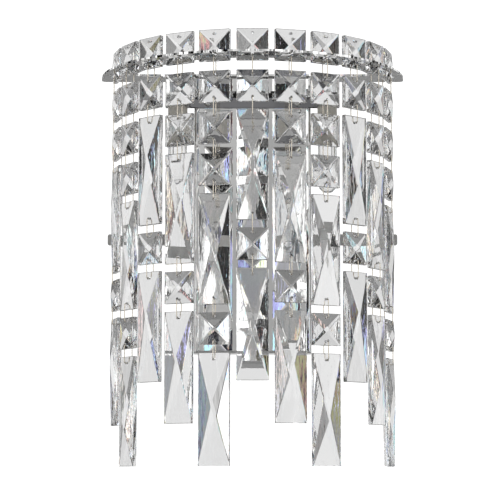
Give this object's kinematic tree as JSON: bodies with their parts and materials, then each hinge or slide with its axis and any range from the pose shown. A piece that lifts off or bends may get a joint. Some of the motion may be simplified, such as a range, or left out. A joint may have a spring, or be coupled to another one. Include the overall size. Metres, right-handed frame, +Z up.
{
  "type": "crystal wall sconce",
  "caption": "Half-round crystal wall light: square crystals stand in a chrome crown and long strands of cut crystal hang from them in front of a polished back pan.",
  "frame": {"origin": "middle of the mounting strap's back face, on the wall plane", "axes": "+Z up, +Y into the wall, +X to the right as seen from the room; the sconce stands out towards -Y"},
  "size_m": [0.2198, 0.11, 0.2977],
  "materials": {
    "crystal": "polished cut crystal",
    "link_wire": "bright plated wire",
    "polished_chrome": "mirror polished chrome plate",
    "strap_steel": "plain zinc plate",
    "plated_steel": "bright zinc plate",
    "ceramic": "glazed steatite, light cream",
    "lamp_glass": "clear quartz glass",
    "tungsten": "dark drawn wire",
    "rubber": "matt black",
    "block_plastic": "natural white nylon",
    "lead_sleeve": "white silicone sleeve",
    "earth_sleeve": "green and yellow sleeve",
    "brass": "plain brass"
  },
  "bodies": {
    "root": {"crown_frame": "polished_chrome", "crown_squares": "crystal", "back_pan": "polished_chrome", "mounting_strap": "strap_steel", "pan_studs": "plated_steel", "cap_nuts": "polished_chrome", "crown_screws": "plated_steel", "crown_nuts": "plated_steel", "lamp_bar": "polished_chrome", "bar_screws": "plated_steel", "bar_nuts": "plated_steel", "lampholder_left": "ceramic", "lampholder_right": "ceramic", "holder_screws": "plated_steel", "lamp_glass_left": "lamp_glass", "lamp_glass_right": "lamp_glass", "lamp_pins": "plated_steel", "lamp_filaments": "tungsten", "lead_grommets": "rubber", "terminal_block": "block_plastic", "terminal_screw": "plated_steel", "leads_left": "lead_sleeve", "leads_right": "lead_sleeve", "earth_lead": "earth_sleeve", "earth_screw": "brass"},
    "strand_01": {"strand_01_crystals": "crystal", "strand_01_links": "link_wire"},
    "drop_01": {"drop_01": "crystal"},
    "strand_02": {"strand_02_crystals": "crystal", "strand_02_links": "link_wire"},
    "drop_02": {"drop_02": "crystal"},
    "strand_03": {"strand_03_crystals": "crystal", "strand_03_links": "link_wire"},
    "drop_03": {"drop_03": "crystal"},
    "strand_04": {"strand_04_crystals": "crystal", "strand_04_links": "link_wire"},
    "drop_04": {"drop_04": "crystal"},
    "strand_05": {"strand_05_crystals": "crystal", "strand_05_links": "link_wire"},
    "drop_05": {"drop_05": "crystal"},
    "strand_06": {"strand_06_crystals": "crystal", "strand_06_links": "link_wire"},
    "drop_06": {"drop_06": "crystal"},
    "strand_07": {"strand_07_crystals": "crystal", "strand_07_links": "link_wire"},
    "drop_07": {"drop_07": "crystal"},
    "strand_08": {"strand_08_crystals": "crystal", "strand_08_links": "link_wire"},
    "drop_08": {"drop_08": "crystal"},
    "strand_09": {"strand_09_crystals": "crystal", "strand_09_links": "link_wire"},
    "drop_09": {"drop_09": "crystal"},
    "strand_10": {"strand_10_crystals": "crystal", "strand_10_links": "link_wire"},
    "drop_10": {"drop_10": "crystal"},
    "strand_11": {"strand_11_crystals": "crystal", "strand_11_links": "link_wire"},
    "drop_11": {"drop_11": "crystal"}
  },
  "joints": [
    {"name": "strand_01_swing", "type": "hinge", "parent": "root", "child": "strand_01", "pos_m": [-0.09659, -0.02588, 0.1152], "axis": [-0.2588, 0.9659, 0], "range_deg": [-2, 9]},
    {"name": "drop_01_swing", "type": "hinge", "parent": "strand_01", "child": "drop_01", "pos_m": [-0.09659, -0.02588, -0.0634], "axis": [-0.2588, 0.9659, 0], "range_deg": [-2, 9]},
    {"name": "strand_02_swing", "type": "hinge", "parent": "root", "child": "strand_02", "pos_m": [-0.0866, -0.05, 0.1152], "axis": [-0.5, 0.866, 0], "range_deg": [-2, 9]},
    {"name": "drop_02_swing", "type": "hinge", "parent": "strand_02", "child": "drop_02", "pos_m": [-0.0866, -0.05, -0.092], "axis": [-0.5, 0.866, 0], "range_deg": [-2, 9]},
    {"name": "strand_03_swing", "type": "hinge", "parent": "root", "child": "strand_03", "pos_m": [-0.07071, -0.07071, 0.1152], "axis": [-0.7071, 0.7071, 0], "range_deg": [-2, 9]},
    {"name": "drop_03_swing", "type": "hinge", "parent": "strand_03", "child": "drop_03", "pos_m": [-0.07071, -0.07071, -0.0348], "axis": [-0.7071, 0.7071, 0], "range_deg": [-2, 9]},
    {"name": "strand_04_swing", "type": "hinge", "parent": "root", "child": "strand_04", "pos_m": [-0.05, -0.0866, 0.1152], "axis": [-0.866, 0.5, 0], "range_deg": [-2, 9]},
    {"name": "drop_04_swing", "type": "hinge", "parent": "strand_04", "child": "drop_04", "pos_m": [-0.05, -0.0866, -0.0634], "axis": [-0.866, 0.5, 0], "range_deg": [-2, 9]},
    {"name": "strand_05_swing", "type": "hinge", "parent": "root", "child": "strand_05", "pos_m": [-0.02588, -0.09659, 0.1152], "axis": [-0.9659, 0.2588, 0], "range_deg": [-2, 9]},
    {"name": "drop_05_swing", "type": "hinge", "parent": "strand_05", "child": "drop_05", "pos_m": [-0.02588, -0.09659, -0.092], "axis": [-0.9659, 0.2588, 0], "range_deg": [-2, 9]},
    {"name": "strand_06_swing", "type": "hinge", "parent": "root", "child": "strand_06", "pos_m": [0, -0.1, 0.1152], "axis": [-1, 0, 0], "range_deg": [-2, 9]},
    {"name": "drop_06_swing", "type": "hinge", "parent": "strand_06", "child": "drop_06", "pos_m": [0, -0.1, -0.0348], "axis": [-1, 0, 0], "range_deg": [-2, 9]},
    {"name": "strand_07_swing", "type": "hinge", "parent": "root", "child": "strand_07", "pos_m": [0.02588, -0.09659, 0.1152], "axis": [-0.9659, -0.2588, 0], "range_deg": [-2, 9]},
    {"name": "drop_07_swing", "type": "hinge", "parent": "strand_07", "child": "drop_07", "pos_m": [0.02588, -0.09659, -0.0634], "axis": [-0.9659, -0.2588, 0], "range_deg": [-2, 9]},
    {"name": "strand_08_swing", "type": "hinge", "parent": "root", "child": "strand_08", "pos_m": [0.05, -0.0866, 0.1152], "axis": [-0.866, -0.5, 0], "range_deg": [-2, 9]},
    {"name": "drop_08_swing", "type": "hinge", "parent": "strand_08", "child": "drop_08", "pos_m": [0.05, -0.0866, -0.092], "axis": [-0.866, -0.5, 0], "range_deg": [-2, 9]},
    {"name": "strand_09_swing", "type": "hinge", "parent": "root", "child": "strand_09", "pos_m": [0.07071, -0.07071, 0.1152], "axis": [-0.7071, -0.7071, 0], "range_deg": [-2, 9]},
    {"name": "drop_09_swing", "type": "hinge", "parent": "strand_09", "child": "drop_09", "pos_m": [0.07071, -0.07071, -0.0348], "axis": [-0.7071, -0.7071, 0], "range_deg": [-2, 9]},
    {"name": "strand_10_swing", "type": "hinge", "parent": "root", "child": "strand_10", "pos_m": [0.0866, -0.05, 0.1152], "axis": [-0.5, -0.866, 0], "range_deg": [-2, 9]},
    {"name": "drop_10_swing", "type": "hinge", "parent": "strand_10", "child": "drop_10", "pos_m": [0.0866, -0.05, -0.0634], "axis": [-0.5, -0.866, 0], "range_deg": [-2, 9]},
    {"name": "strand_11_swing", "type": "hinge", "parent": "root", "child": "strand_11", "pos_m": [0.09659, -0.02588, 0.1152], "axis": [-0.2588, -0.9659, 0], "range_deg": [-2, 9]},
    {"name": "drop_11_swing", "type": "hinge", "parent": "strand_11", "child": "drop_11", "pos_m": [0.09659, -0.02588, -0.092], "axis": [-0.2588, -0.9659, 0], "range_deg": [-2, 9]}
  ]
}
